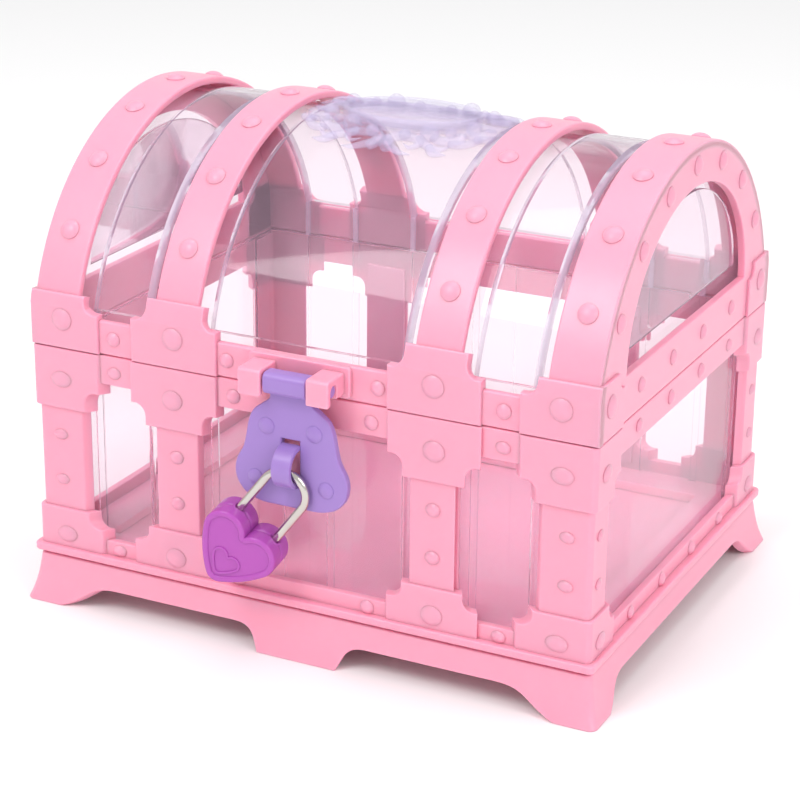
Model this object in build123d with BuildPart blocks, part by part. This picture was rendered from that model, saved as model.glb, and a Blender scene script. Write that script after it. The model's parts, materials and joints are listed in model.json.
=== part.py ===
from build123d import *
from math import acos, cos, degrees, radians, sin
import os

# A toy treasure chest: a pink rivet-studded frame round a clear bin, a hinged barrel lid with a clear vault,
# a purple hasp and a heart-shaped padlock. Millimetres, +Z up, +Y towards the hinges, feet on Z = 0.

# ---------------------------------------------------------------- driving dimensions
BODY_Y = 3.4  # the chest's middle lies this far behind the origin, which is the middle of the whole outline
HALF_W, HALF_D = 89.0, 69.3  # faces of the rails and posts
PROUD = 1.0  # plaques stand this far off the rails
PLAQUE_STEP = 1.3
FRAME_T = 2.4  # wall of the frames
SEAM_Z = 82.0  # top of the base
SEAM_GAP = 0.3
FRAME_Z = 15.2  # underside of the base frame
RAIL_LOW_Z = 23.0  # top of the bottom rail
RAIL_HIGH_Z = 73.0  # underside of the top rail
LEDGE = (16.0, 18.5, 2.5)  # low, high, how far it stands off the rails
STRAP_X, STRAP_HALF = 41.3, 7.0  # middle of each intermediate strap, and half its width
POST_X, POST_Y = 74.0, 58.0  # inner edges of the corner posts
ARC_R, ARC_Z = 71.8, SEAM_Z - 5.5  # the barrel lid's straps
LID_Z = SEAM_Z + SEAM_GAP
LID_RAIL_Z = SEAM_Z + 10.5
MOON = (49.0, 40.5, SEAM_Z + 13.7)  # end window: half width, height, sill
FLANGE_Z = 18.2  # top of the frame's inward flange
LINER_GAP, LINER_T = 0.2, 1.6
PANEL_STEP = 1.2  # the clear panels stand forward of the pockets behind the posts
POCKET_HALF = 10.0
HINGE_X, HINGE_R, PIN_R = 62.0, 3.5, 1.25
HINGE_Y, HINGE_Z = HALF_D + PROUD + 0.35 + HINGE_R, SEAM_Z + 0.15
RIVET_R, RIVET_H = 2.2, 0.9
STUD_R = 3.3
PLINTH_TOP = 15.0
SKIRT_FLARE = 4.9  # the skirt's foot stands this far outside the rails

HASP_Y, HASP_Z = -HALF_D - 7.3, SEAM_Z + 5.0  # hasp pivot, from the chest's middle
TRUNNION_R, JAW_IN, JAW_OUT = 1.8, 7.2, 14.3
JAW_FRONT, JAW_BACK = HASP_Y - 3.7, -HALF_D + 1.3
PAD = (16.0, -HALF_D - 1.4)  # pad between the jaws: half width, front
PLATE_FRONT, PLATE_T = -HALF_D - 6.5, 2.4
LOOP_Z, LOOP_R, LOOP_HOLE_R, LOOP_W = SEAM_Z - 19.7, 6.4, 4.8, 6.0
TONGUE_HALF = 6.0  # the catch tongue behind the hasp

WIRE_R, LEG_X, LEG_L = 1.18, 6.7, 14.5  # padlock shackle
HANG = (-1.0, -HALF_D - 9.1, SEAM_Z - 20.8)  # top of the shackle's bend, in the loop, from the chest's middle
LOCK_TILT, LOCK_TURN, LOCK_ROLL = 4.0, 5.0, -37.5
LOCK_T = 5.3  # half the padlock's thickness
LOCK_WALL = 1.6


# ---------------------------------------------------------------- planes through the chest's middle
def level(z):
    return Plane((0, BODY_Y, z))


def facing(y, side=-1):
    """An upright plane across the chest: side -1 faces the front, 1 the rear. Its y runs up."""
    return Plane((0, BODY_Y + y, 0), x_dir=(-side, 0, 0), z_dir=(0, side, 0))


def across(x, side=1):
    """An upright plane along the chest, facing +X or -X. Its x runs along Y (or -Y), its y up."""
    return Plane((x, BODY_Y, 0), x_dir=(0, side, 0), z_dir=(side, 0, 0))


# ---------------------------------------------------------------- shared outlines
def block(x0, x1, y0, y1, z0, z1, mode=Mode.ADD):
    """A box between two corners, measured from the chest's middle."""
    with Locations(((x0 + x1) / 2, BODY_Y + (y0 + y1) / 2, (z0 + z1) / 2)):
        Box(x1 - x0, y1 - y0, z1 - z0, mode=mode)


def plaque(x, wide, narrow, z_edge, z_step, z_cove, z_end):
    """A strap plaque: wide by the seam, then a small step and a quarter-round cove in to its narrow end."""
    inner = wide - PLAQUE_STEP
    with Locations((x, (z_edge + z_cove) / 2)):
        Rectangle(2 * inner, abs(z_cove - z_edge))
    with Locations((x - inner, z_cove), (x + inner, z_cove)):
        Ellipse(inner - narrow, abs(z_cove - z_step), mode=Mode.SUBTRACT)
    with Locations((x, (z_edge + z_step) / 2)):
        Rectangle(2 * wide, abs(z_step - z_edge))
    with Locations((x, (z_edge + z_end) / 2)):
        Rectangle(2 * narrow, abs(z_end - z_edge))


# how each family of plaques steps from its edge: (edge, step, cove, end)
UPPER = (SEAM_Z, SEAM_Z - 12.4, SEAM_Z - 16.2, SEAM_Z - 18.8)
LOWER = (LEDGE[1] - 0.5, SEAM_Z - 55.8, SEAM_Z - 52.6, SEAM_Z - 51)
LID_STRAP = (LID_Z, SEAM_Z + 13.2, SEAM_Z + 16.6, SEAM_Z + 19.5)
LID_CORNER = (LID_Z, SEAM_Z + 12, SEAM_Z + 15.2, SEAM_Z + 16.8)
CORNER_X = HALF_W + PROUD  # a corner plaque is half a strap plaque, centred on the chest's edge
CORNER_Y = HALF_D + PROUD


def end_plaques(heights, corner_heights):
    """The four plaques of a front or rear face, in one sketch."""
    for x in (-STRAP_X, STRAP_X):
        plaque(x, 14.2, 9.5, *heights)
    for x in (-CORNER_X, CORNER_X):
        plaque(x, 23.2, 18.4, *corner_heights)
    with Locations((0, (heights[0] + heights[3]) / 2)):
        Rectangle(2 * CORNER_X, 2 * abs(heights[3] - heights[0]), mode=Mode.INTERSECT)


def side_plaques(heights):
    """The two corner plaques of a side face, in one sketch."""
    for y in (-CORNER_Y, CORNER_Y):
        plaque(y, 18.3, 14.4, *heights)
    with Locations((0, (heights[0] + heights[3]) / 2)):
        Rectangle(2 * CORNER_Y, 2 * abs(heights[3] - heights[0]), mode=Mode.INTERSECT)


def lid_outline(grow):
    """The barrel's profile: upright sides that run into one round top."""
    with Locations((0, ARC_Z)):
        Circle(ARC_R + grow)
    with Locations((0, LID_Z + 50)):
        Rectangle(2 * (HALF_D + grow), 100, mode=Mode.INTERSECT)


def rivets(plane, points, radius):
    """Flat-topped domes moulded on a face."""
    with BuildSketch(plane) as spots:
        with Locations(*points):
            Circle(radius)
    extrude(spots.sketch, amount=RIVET_H, taper=28)


def mirrored(points):
    return [(side * x, z) for x, z in points for side in (-1, 1)]


# ---------------------------------------------------------------- plinth
with BuildPart() as plinth:
    with BuildSketch(level(PLINTH_TOP)):
        Rectangle(2 * (HALF_W + 1.4), 2 * (HALF_D + 1.4))
    with BuildSketch(level(0)):
        Rectangle(2 * (HALF_W + SKIRT_FLARE), 2 * (HALF_D + SKIRT_FLARE))
    loft(ruled=True)
    fillet(plinth.edges().filter_by(lambda e: abs(e.tangent_at(0.5).Z) > 0.8), 2.0)
    deck_under = PLINTH_TOP - 2.6
    with BuildSketch(level(deck_under)):
        Rectangle(2 * (HALF_W - 0.9), 2 * (HALF_D - 0.9))
    with BuildSketch(level(0)):
        Rectangle(2 * (HALF_W + SKIRT_FLARE - 3), 2 * (HALF_D + SKIRT_FLARE - 3))
    loft(ruled=True, mode=Mode.SUBTRACT)
    # two arches front and rear, one at each end, between curved feet
    with BuildSketch(facing(0)):
        with BuildLine():
            Bezier((12.2, -1), (12.2, 5.5), (16, 7.5), (22, 7.5))
            Line((22, 7.5), (63, 7.5))
            Bezier((63, 7.5), (70, 7.5), (77, 5), (77, -1))
            Line((77, -1), (12.2, -1))
        make_face()
        mirror(about=Plane.YZ)
    extrude(amount=100, both=True, mode=Mode.SUBTRACT)
    with BuildSketch(across(0)):
        with BuildLine():
            Line((-48, 8), (48, 8))
            Bezier((48, 8), (55, 8), (58, 5), (58, -1))
            Line((58, -1), (-58, -1))
            Bezier((-58, -1), (-58, 5), (-55, 8), (-48, 8))
        make_face()
    extrude(amount=110, both=True, mode=Mode.SUBTRACT)
    # screw bosses under the deck
    boss_spots = [(x, y) for x in (-80, 0, 80) for y in (-60, 60)]
    with BuildSketch(level(deck_under)):
        with Locations(*boss_spots):
            Circle(4)
    extrude(amount=-4.4)
    with BuildSketch(level(deck_under - 4.4)):
        with Locations(*boss_spots):
            Circle(1.4)
    extrude(amount=10, mode=Mode.SUBTRACT)
plinth.part.label = "plinth"

# ---------------------------------------------------------------- base frame
with BuildPart() as base_rivets:
    post_z = (SEAM_Z - 42, SEAM_Z - 27.5)
    stud_z = (SEAM_Z - 9.5, SEAM_Z - 59.3)
    rail_xz = mirrored([(62, SEAM_Z - 5), (22, SEAM_Z - 5), (62, LEDGE[1] + 1.8), (21, LEDGE[1] + 1.8)])
    stud_xz = mirrored([(x, z) for x in (79, STRAP_X) for z in stud_z])
    post_xz = mirrored([(x, z) for x in (81.5, STRAP_X) for z in post_z])
    for side in (-1, 1):
        rivets(facing(side * HALF_D, side), rail_xz + post_xz, RIVET_R)
        rivets(facing(side * CORNER_Y, side), stud_xz, STUD_R)
        side_xz = mirrored([(y, z) for y in (12.5, 37.5) for z in (SEAM_Z - 4.5, LEDGE[1] + 1.8)])
        rivets(across(side * HALF_W, side), side_xz + mirrored([(63.5, z) for z in post_z]), RIVET_R)
        rivets(across(side * CORNER_X, side), mirrored([(62, z) for z in stud_z]), STUD_R)
with BuildPart() as base_frame:
    block(-HALF_W, HALF_W, -HALF_D, HALF_D, FRAME_Z, SEAM_Z)
    inner_w, inner_d = HALF_W - FRAME_T, HALF_D - FRAME_T
    block(-inner_w, inner_w, -inner_d, inner_d, FLANGE_Z, SEAM_Z, Mode.SUBTRACT)
    block(-inner_w + 12, inner_w - 12, -inner_d + 12, inner_d - 12, FRAME_Z, FLANGE_Z, Mode.SUBTRACT)
    # windows between the posts, front to rear and end to end
    with BuildSketch(facing(0)):
        for low, high in ((-POST_X, -STRAP_X - STRAP_HALF), (-STRAP_X + STRAP_HALF, STRAP_X - STRAP_HALF),
                          (STRAP_X + STRAP_HALF, POST_X)):
            with Locations(((low + high) / 2, (RAIL_LOW_Z + RAIL_HIGH_Z) / 2)):
                Rectangle(high - low, RAIL_HIGH_Z - RAIL_LOW_Z)
    extrude(amount=100, both=True, mode=Mode.SUBTRACT)
    with BuildSketch(across(0)):
        with Locations((0, (RAIL_LOW_Z + RAIL_HIGH_Z) / 2)):
            Rectangle(2 * POST_Y, RAIL_HIGH_Z - RAIL_LOW_Z)
    extrude(amount=100, both=True, mode=Mode.SUBTRACT)
    # plaques, as thick as the frame behind them
    for side in (-1, 1):
        for heights in (UPPER, LOWER):
            with BuildSketch(facing(side * CORNER_Y, side)):
                end_plaques(heights, heights)
            extrude(amount=-(PROUD + FRAME_T))
            with BuildSketch(across(side * CORNER_X, side)):
                side_plaques(heights)
            extrude(amount=-(PROUD + FRAME_T))
    # the ledge round the foot of the frame
    with BuildSketch(level(LEDGE[0])):
        Rectangle(2 * (HALF_W + LEDGE[2]), 2 * (HALF_D + LEDGE[2]))
        Rectangle(2 * inner_w, 2 * inner_d, mode=Mode.SUBTRACT)
    extrude(amount=LEDGE[1] - LEDGE[0])
    # ribs behind the intermediate posts
    for side in (-1, 1):
        for x in (-STRAP_X, STRAP_X):
            y0, y1 = sorted((side * inner_d, side * (inner_d - 1.0)))
            block(x - STRAP_HALF, x + STRAP_HALF, y0, y1, RAIL_LOW_Z, RAIL_HIGH_Z)
    # catch tongue and the boss that the closed hasp lies against
    block(-TONGUE_HALF, TONGUE_HALF, -HALF_D, -inner_d, SEAM_Z - 34, RAIL_HIGH_Z)
    block(-4.5, 4.5, PLATE_FRONT + PLATE_T + 0.3, -HALF_D, SEAM_Z - 25, SEAM_Z - 11)
    add(base_rivets.part)
    # outer knuckles of the two hinges
    for x in (-HINGE_X, HINGE_X):
        for end in (-1, 1):
            low, high = sorted((x + end * 5.0, x + end * 12.0))
            with BuildSketch(across(low)):
                with Locations((HINGE_Y, HINGE_Z)):
                    Circle(HINGE_R)
                with Locations((HINGE_Y - 2.7, SEAM_Z - 1.65)):
                    Rectangle(5.4, 3.3)
                with Locations((HINGE_Y, HINGE_Z)):
                    Circle(PIN_R + 0.02, mode=Mode.SUBTRACT)
            extrude(amount=high - low)
    # screw holes in the flange
    with BuildSketch(level(FRAME_Z)):
        with Locations(*boss_spots):
            Circle(1.02)
    extrude(amount=FLANGE_Z - FRAME_Z, mode=Mode.SUBTRACT)
base_frame.part.label = "base_frame"

# ---------------------------------------------------------------- self-tapping screws up through the plinth
with BuildPart() as base_screws:
    head_z = deck_under - 4.4
    with BuildSketch(level(head_z - 1.6)):
        with Locations(*boss_spots):
            Circle(2.4)
    extrude(amount=1.6)
    with BuildSketch(level(head_z)):
        with Locations(*boss_spots):
            Circle(1.0)
    extrude(amount=FLANGE_Z - head_z - 0.4)
    with BuildSketch(level(head_z - 1.6)):
        with Locations(*boss_spots):
            Rectangle(2.8, 0.6)
            Rectangle(0.6, 2.8)
    extrude(amount=0.8, mode=Mode.SUBTRACT)
base_screws.part.label = "base_screws"


# ---------------------------------------------------------------- clear bin in the base
def bin_outline(shrink):
    """Pockets behind the posts, panels that stand forward into the windows."""
    back_w = HALF_W - FRAME_T - LINER_GAP - PANEL_STEP - shrink
    back_d = HALF_D - FRAME_T - LINER_GAP - PANEL_STEP - shrink
    Rectangle(2 * back_w, 2 * back_d)
    for low, high in ((TONGUE_HALF + 0.5, STRAP_X - POCKET_HALF), (STRAP_X + POCKET_HALF, POST_X - 3.3)):
        for side in (-1, 1):
            with Locations((side * (low + high) / 2, 0)):
                Rectangle(high - low - 2 * shrink, 2 * (back_d + PANEL_STEP))
    Rectangle(2 * (back_w + PANEL_STEP), 2 * (POST_Y - 3.3 - shrink))


with BuildPart() as base_liner:
    with BuildSketch(level(FLANGE_Z + 0.1)):
        bin_outline(0)
    extrude(amount=SEAM_Z - 0.4 - FLANGE_Z)
    with BuildSketch(level(FLANGE_Z + LINER_T)):
        bin_outline(LINER_T)
    extrude(amount=SEAM_Z, mode=Mode.SUBTRACT)
base_liner.part.label = "base_liner"

# ---------------------------------------------------------------- hinge pins
with BuildPart() as hinge_pins:
    for x in (-HINGE_X, HINGE_X):
        with BuildSketch(across(x)):
            with Locations((HINGE_Y, HINGE_Z)):
                Circle(PIN_R)
        extrude(amount=12.0, both=True)
hinge_pins.part.label = "hinge_pins"

# ---------------------------------------------------------------- lid frame
with BuildPart() as lid_bands:
    # plaques follow the barrel: a skin over it, cut to the plaque outline from in front
    with BuildSketch(across(-CORNER_X)):
        lid_outline(PROUD)
    extrude(amount=2 * CORNER_X)
    with BuildSketch(across(-CORNER_X + PROUD + FRAME_T)):
        lid_outline(-FRAME_T)
        with Locations((0, SEAM_Z)):
            Rectangle(2 * (HALF_D - FRAME_T), 4)
    extrude(amount=2 * (CORNER_X - PROUD - FRAME_T), mode=Mode.SUBTRACT)
with BuildPart() as lid_plaques:
    add(lid_bands.part)
    with BuildSketch(facing(0)):
        end_plaques(LID_STRAP, LID_CORNER)
    extrude(amount=100, both=True, mode=Mode.INTERSECT)
    block(-100, 100, -55, 55, LID_Z - 1, SEAM_Z + 60, Mode.SUBTRACT)
with BuildPart() as lid_side_plaques:
    add(lid_bands.part)
    with BuildSketch(across(0)):
        side_plaques(LID_CORNER)
    extrude(amount=100, both=True, mode=Mode.INTERSECT)
    block(-HALF_W + FRAME_T, HALF_W - FRAME_T, -100, 100, LID_Z, SEAM_Z + 60, Mode.SUBTRACT)

with BuildPart() as lid_rivets:
    # on the rails and plaques, along the bands and round the end arches
    rail_xz = mirrored([(62, SEAM_Z + 5.5), (24, SEAM_Z + 5.5)])
    for side in (-1, 1):
        rivets(facing(side * HALF_D, side), rail_xz, RIVET_R)
        rivets(facing(side * CORNER_Y, side), mirrored([(79, SEAM_Z + 9.3), (STRAP_X, SEAM_Z + 9.3)]), STUD_R)
        rivets(across(side * HALF_W, side), mirrored([(12.5, SEAM_Z + 7.5), (37.5, SEAM_Z + 7.5)]), RIVET_R)
        rivets(across(side * CORNER_X, side), mirrored([(62, SEAM_Z + 9.5)]), STUD_R)
        ring = [(66 * cos(radians(a)), ARC_Z + 66 * sin(radians(a))) for a in (33, 52, 71, 90, 109, 128, 147)]
        rivets(across(side * HALF_W, side), ring, 2.8)
    on_bands = [(x, 0) for x in (-81.5, -STRAP_X, STRAP_X, 81.5)]
    for angle in (33, 52, 71, 90, 109, 128, 147):
        out = Vector(0, -cos(radians(angle)), sin(radians(angle)))
        spot = Vector(0, BODY_Y, ARC_Z) + out * (ARC_R - 0.15)
        rivets(Plane(spot, x_dir=(1, 0, 0), z_dir=out), on_bands, 2.9)

with BuildPart() as lid_frame:
    with BuildSketch(across(-HALF_W)):
        lid_outline(0)
    extrude(amount=2 * HALF_W)
    with BuildSketch(across(-HALF_W + FRAME_T)):
        lid_outline(-FRAME_T)
        with Locations((0, SEAM_Z)):
            Rectangle(2 * (HALF_D - FRAME_T), 4)
    extrude(amount=2 * (HALF_W - FRAME_T), mode=Mode.SUBTRACT)
    # three openings over the barrel, between four bands
    for low, high in ((-POST_X, -STRAP_X - STRAP_HALF), (-STRAP_X + STRAP_HALF, STRAP_X - STRAP_HALF),
                      (STRAP_X + STRAP_HALF, POST_X)):
        block(low, high, -100, 100, LID_RAIL_Z, SEAM_Z + 90, Mode.SUBTRACT)
    # a half-moon opening in each end
    with BuildSketch(across(0)):
        with Locations((0, MOON[2])):
            Ellipse(MOON[0], MOON[1])
        with Locations((0, MOON[2] + 50)):
            Rectangle(200, 100, mode=Mode.INTERSECT)
    extrude(amount=100, both=True, mode=Mode.SUBTRACT)
    add(lid_plaques.part)
    add(lid_side_plaques.part)
    add(lid_rivets.part)
    # middle knuckle of each hinge
    for x in (-HINGE_X, HINGE_X):
        with BuildSketch(across(x)):
            with Locations((HINGE_Y, HINGE_Z)):
                Circle(HINGE_R)
            with Locations((HINGE_Y - 2.7, LID_Z + 1.65)):
                Rectangle(5.4, 3.3)
            with Locations((HINGE_Y, HINGE_Z)):
                Circle(PIN_R + 0.05, mode=Mode.SUBTRACT)
        extrude(amount=4.7, both=True)
    # two hooks that the hasp's trunnions snap up into, on a pad
    block(-PAD[0], PAD[0], PAD[1], JAW_BACK, SEAM_Z + 1.2, SEAM_Z + 10.4)
    for x in (-JAW_OUT, JAW_IN):
        with BuildSketch(across(x)):
            with Locations(((JAW_FRONT + JAW_BACK) / 2, HASP_Z)):
                RectangleRounded(JAW_BACK - JAW_FRONT, 7.6, 1.2)
            with Locations((HASP_Y, HASP_Z)):
                Circle(TRUNNION_R + 0.05, mode=Mode.SUBTRACT)
            with Locations((HASP_Y, HASP_Z - 3)):
                Rectangle(2 * TRUNNION_R - 0.4, 6, mode=Mode.SUBTRACT)
        extrude(amount=JAW_OUT - JAW_IN)
lid_frame.part.label = "lid_frame"


# ---------------------------------------------------------------- clear vault in the lid, with its medallion
def vault(shrink):
    """The vault's solid form: pockets behind the bands, panels that stand forward into the openings."""
    back = -FRAME_T - LINER_GAP - PANEL_STEP - shrink
    half = HALF_W + back
    with BuildSketch(across(-half)) as core:
        lid_outline(back)
    extrude(core.sketch, amount=2 * half)
    panel_half = (POST_X - 3.3 - STRAP_X - POCKET_HALF) / 2
    outer_x = STRAP_X + POCKET_HALF + panel_half
    for middle, reach in ((-outer_x, panel_half), (0, STRAP_X - POCKET_HALF), (outer_x, panel_half)):
        with BuildSketch(across(middle)) as panel:
            lid_outline(back + PANEL_STEP)
            with Locations((0, LID_RAIL_Z + 3 + shrink + 50)):
                Rectangle(200, 100, mode=Mode.INTERSECT)
        extrude(panel.sketch, amount=reach - shrink, both=True)
    with BuildSketch(across(0)) as end_panel:
        with Locations((0, MOON[2] + 4.5 + shrink)):
            Ellipse(MOON[0] - 3.3 - shrink, MOON[1] - 7 - 2 * shrink)
        with Locations((0, MOON[2] + 4.5 + shrink + 50)):
            Rectangle(200, 100, mode=Mode.INTERSECT)
    extrude(end_panel.sketch, amount=half + PANEL_STEP, both=True)


with BuildPart() as vault_core:
    vault(LINER_T)
    block(-HALF_W + 5.2, HALF_W - 5.2, -HALF_D + 5.2, HALF_D - 5.2, LID_Z - 2, LID_Z + 3)
with BuildPart() as wreath:
    with BuildSketch(across(-32)):
        lid_outline(-FRAME_T - LINER_GAP + 1.6)
    extrude(amount=64)
    with BuildSketch(level(ARC_Z + ARC_R - 14)):
        Ellipse(32, 23.5)
        Ellipse(23.5, 15.5, mode=Mode.SUBTRACT)
    extrude(amount=20, mode=Mode.INTERSECT)
with BuildPart() as lid_liner:
    vault(0)
    with BuildSketch(level(ARC_Z + ARC_R - 8)):
        Ellipse(22, 14)
    extrude(amount=8 - 0.6)
    with BuildSketch(level(ARC_Z + ARC_R - 1.4)):
        Ellipse(20.3, 12.3)
    extrude(amount=2, mode=Mode.SUBTRACT)
    add(wreath.part)
    add(vault_core.part, mode=Mode.SUBTRACT)
lid_liner.part.label = "lid_liner"

# ---------------------------------------------------------------- hasp: barrel, plate and loop in one piece
with BuildPart() as hasp:
    with BuildSketch(facing(PLATE_FRONT)):
        with BuildLine():
            Line((0, HASP_Z), (6.6, HASP_Z))
            Line((6.6, HASP_Z), (6.6, SEAM_Z - 0.6))
            Spline((6.6, SEAM_Z - 0.6), (12.6, SEAM_Z - 5.5), (14.4, SEAM_Z - 14), (18, SEAM_Z - 22.5),
                   (15.6, SEAM_Z - 29.5), (8, SEAM_Z - 32.6), tangents=((0.6, -1), (-1, 0)))
            Line((8, SEAM_Z - 32.6), (0, SEAM_Z - 32.6))
            Line((0, SEAM_Z - 32.6), (0, HASP_Z))
        make_face()
        mirror(about=Plane.YZ)
        with Locations((0, LOOP_Z)):
            Rectangle(5.8, 2 * LOOP_HOLE_R - 1, mode=Mode.SUBTRACT)
    extrude(amount=-PLATE_T)
    with BuildSketch(across(-6.8)):
        with Locations((HASP_Y, HASP_Z)):
            RectangleRounded(6.2, 6.4, 1.9)
    extrude(amount=2 * 6.8)
    with BuildSketch(across(-JAW_OUT + 0.6)):
        with Locations((HASP_Y, HASP_Z)):
            Circle(TRUNNION_R)
    extrude(amount=2 * (JAW_OUT - 0.6))
    # the loop, a band bent to a half ring
    with BuildSketch(across(-LOOP_W / 2)):
        with Locations((PLATE_FRONT, LOOP_Z)):
            Circle(LOOP_R)
            Circle(LOOP_HOLE_R, mode=Mode.SUBTRACT)
        with Locations((PLATE_FRONT - 10 + 0.4, LOOP_Z)):
            Rectangle(20, 40, mode=Mode.INTERSECT)
    extrude(amount=LOOP_W)
    rivets(facing(PLATE_FRONT), mirrored([(7.6, SEAM_Z - 9), (11.3, SEAM_Z - 25.2)]), 2.4)
hasp.part.label = "hasp"

# ---------------------------------------------------------------- padlock frame: x across the legs, y to the bend
FACE = Vector(0, -1, 0).rotate(Axis.X, LOCK_TILT).rotate(Axis.Z, LOCK_TURN)
UPHILL = (Vector(0, 0, 1) - FACE * FACE.Z).normalized()  # the steepest way up in the padlock's own plane
BEND = Vector(HANG[0], BODY_Y + HANG[1], HANG[2]) - UPHILL * LEG_X
RIGHT = Vector(0, 0, 1).cross(FACE).normalized().rotate(Axis((0, 0, 0), FACE), LOCK_ROLL)
LOCK = Plane(BEND - FACE.cross(RIGHT) * LEG_L, x_dir=RIGHT, z_dir=FACE)


def heart(inset=0.0, width=24.4):
    """A heart with round lobes, convex sides and a blunt tip, drawn from its right half."""
    k = width / 24.4
    to_cleft = degrees(acos(-5.7 / 6.5))
    with BuildLine() as half:
        lobe = CenterArc((5.7 * k, -5.9 * k), 6.5 * k, -25, 25 + to_cleft)
        side = TangentArc(lobe @ 0, (1.4 * k, -21.3 * k), tangent=(lobe % 0) * -1)
        Line(side @ 1, (0, -21.9 * k))
        Line((0, -21.9 * k), lobe @ 1)
    make_face(half.edges())
    mirror(about=Plane.YZ)
    if inset:
        offset(amount=-inset, mode=Mode.REPLACE)


with BuildSketch() as small_heart:
    heart(width=8.6)


def leg_plane(x, y):
    """A plane square to a leg, facing down it into the padlock."""
    return Plane(LOCK.from_local_coords((x, y, 0)), x_dir=LOCK.x_dir, z_dir=-LOCK.y_dir)


def leg_holes(radius, depth):
    """Bores down both legs."""
    for x in (-LEG_X, LEG_X):
        with BuildSketch(leg_plane(x, 3)) as hole:
            Circle(radius)
        extrude(hole.sketch, amount=depth + 3, mode=Mode.SUBTRACT)


def latch_outline(room=0.0, travel=0.0):
    """The latch plate: bolt, stem and the foot that the key plug drives; room and travel make its channel."""
    bolt = (STEM_X, BOLT_TIP, BOLT_Y - 0.5, BOLT_Y + 0.5)
    stem = (STEM_X, STEM_X + 1.2, -10.9, BOLT_Y)
    foot = (-1.9, STEM_X + 1.2, -10.9, -7.4)
    for x0, x1, y0, y1 in (bolt, stem, foot):
        with Locations(((x0 + x1 + travel) / 2, (y0 + y1) / 2)):
            Rectangle(x1 - x0 + travel + 2 * room, y1 - y0 + 2 * room)


# ---------------------------------------------------------------- shackle
COLLAR_R, LEG_END, SHORT_END = 1.5, -8.6, -4.2  # the long leg's collar, and where the two legs end
with BuildPart() as shackle:
    with BuildLine(LOCK) as wire:
        Line((-LEG_X, LEG_END), (-LEG_X, LEG_L))
        ThreePointArc((-LEG_X, LEG_L), (0, LEG_L + LEG_X), (LEG_X, LEG_L))
        Line((LEG_X, LEG_L), (LEG_X, SHORT_END))
    with BuildSketch(Plane(wire.line @ 0, z_dir=wire.line % 0)):
        Circle(WIRE_R)
    sweep()
    # collar that keeps the long leg in, and the latch notch in the short one
    with BuildSketch(leg_plane(-LEG_X, LEG_END)):
        Circle(COLLAR_R)
    extrude(amount=-0.8)
    with BuildSketch(LOCK):
        with Locations((LEG_X - WIRE_R + 0.2, -3.1)):
            Rectangle(1.2, 1.4)
    extrude(amount=2, both=True, mode=Mode.SUBTRACT)
shackle.part.label = "shackle"

# ---------------------------------------------------------------- padlock shells
PLUG = (0, -9.5, 2.2)  # key plug: x, y, radius
SCREW = (0, -16.6)
SEAT = LOCK_T - LOCK_WALL  # half the depth inside the shells
with BuildPart() as padlock_front:
    with BuildSketch(LOCK):
        heart()
    extrude(amount=LOCK_T)
    with BuildSketch(LOCK):
        heart(LOCK_WALL)
    extrude(amount=SEAT, mode=Mode.SUBTRACT)
    with BuildSketch(LOCK.offset(LOCK_T - 0.5)):
        heart(1.9)
    extrude(amount=1, mode=Mode.SUBTRACT)
    with BuildSketch(LOCK.offset(LOCK_T - 1.0)):
        with Locations((0, -11.2)):
            add(small_heart.sketch)
    extrude(amount=0.75)
    leg_holes(WIRE_R + 0.12, 6)
    with BuildSketch(LOCK.offset(-SEAT + 0.05)):
        with Locations(SCREW):
            Circle(1.7)
    extrude(amount=2 * SEAT)
    with BuildSketch(LOCK.offset(-SEAT + 0.05)):
        with Locations(SCREW):
            Circle(0.62)
    extrude(amount=6, mode=Mode.SUBTRACT)
padlock_front.part.label = "padlock_front"

with BuildPart() as padlock_rear:
    with BuildSketch(LOCK):
        heart()
    extrude(amount=-LOCK_T)
    with BuildSketch(LOCK):
        heart(LOCK_WALL)
    extrude(amount=-SEAT, mode=Mode.SUBTRACT)
    leg_holes(WIRE_R + 0.12, 6)
    with BuildSketch(LOCK.offset(-LOCK_T)):
        with Locations(PLUG[:2]):
            Circle(PLUG[2] + 0.05)
        with Locations(SCREW):
            Circle(0.75)
    extrude(amount=LOCK_WALL, mode=Mode.SUBTRACT)
    with BuildSketch(LOCK.offset(-LOCK_T)):
        with Locations(SCREW):
            Circle(1.4)
    extrude(amount=0.9, mode=Mode.SUBTRACT)
padlock_rear.part.label = "padlock_rear"

with BuildPart() as case_screw:
    with BuildSketch(LOCK.offset(-LOCK_T + 0.1)):
        with Locations(SCREW):
            Circle(1.3)
    extrude(amount=0.8)
    with BuildSketch(LOCK.offset(-LOCK_T + 0.9)):
        with Locations(SCREW):
            Circle(0.6)
    extrude(amount=6.6)
    with BuildSketch(LOCK.offset(-LOCK_T + 0.1)):
        with Locations(SCREW):
            Rectangle(1.7, 0.4)
            Rectangle(0.4, 1.7)
    extrude(amount=0.45, mode=Mode.SUBTRACT)
case_screw.part.label = "case_screw"

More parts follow.
